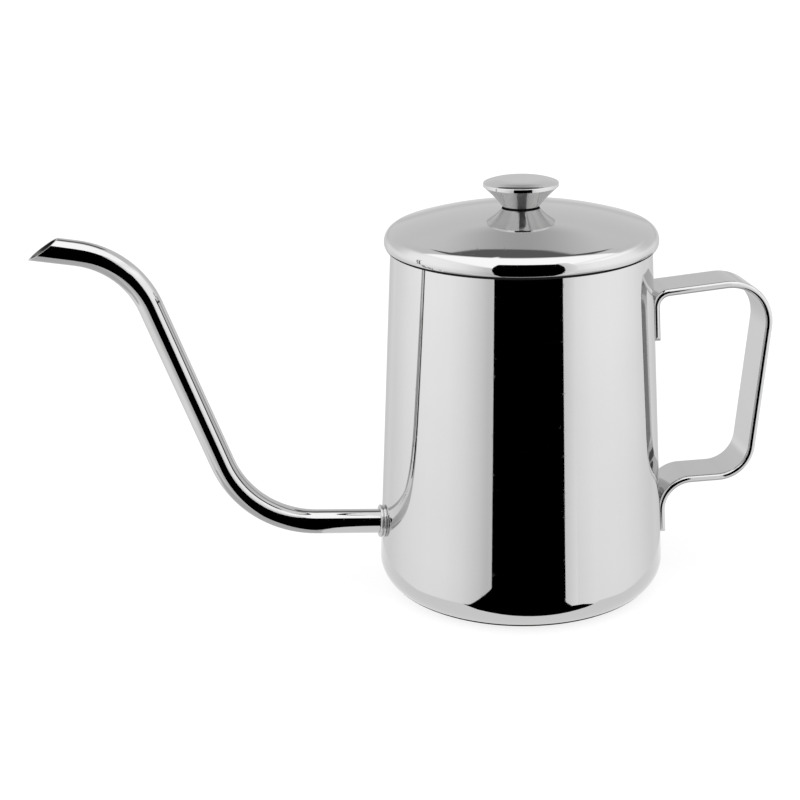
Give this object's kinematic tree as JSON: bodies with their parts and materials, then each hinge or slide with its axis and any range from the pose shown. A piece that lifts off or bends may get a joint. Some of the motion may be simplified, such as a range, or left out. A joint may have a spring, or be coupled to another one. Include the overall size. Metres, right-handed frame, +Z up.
{
  "type": "gooseneck kettle",
  "caption": "Polished steel drip kettle with a tapered body, a thin bent spout cut on a bevel, a flat strap handle and a lift-off domed lid with a flared knob.",
  "frame": {"origin": "centre of the flat base, on the surface the kettle stands on", "axes": "+Z up along the body's axis, -X towards the spout, +X towards the handle, +Y across"},
  "size_m": [0.2384, 0.095, 0.137],
  "materials": {
    "polished_steel": "mirror polished stainless steel",
    "satin_steel": "satin stainless steel",
    "weld_metal": "cleaned weld"
  },
  "bodies": {
    "kettle": {"body_shell": "polished_steel", "spout_tube": "polished_steel", "spout_collar": "polished_steel", "spout_weld": "weld_metal", "handle_strap": "polished_steel", "handle_welds": "weld_metal"},
    "lid": {"lid_cover": "polished_steel", "lid_skirt": "satin_steel", "skirt_welds": "weld_metal", "lid_knob": "polished_steel", "knob_washer": "satin_steel", "knob_screw": "satin_steel"}
  },
  "joints": [
    {"name": "lid_lift", "type": "slide", "parent": "kettle", "child": "lid", "axis": [0, 0, 1], "range_m": [0, 0.06]}
  ]
}
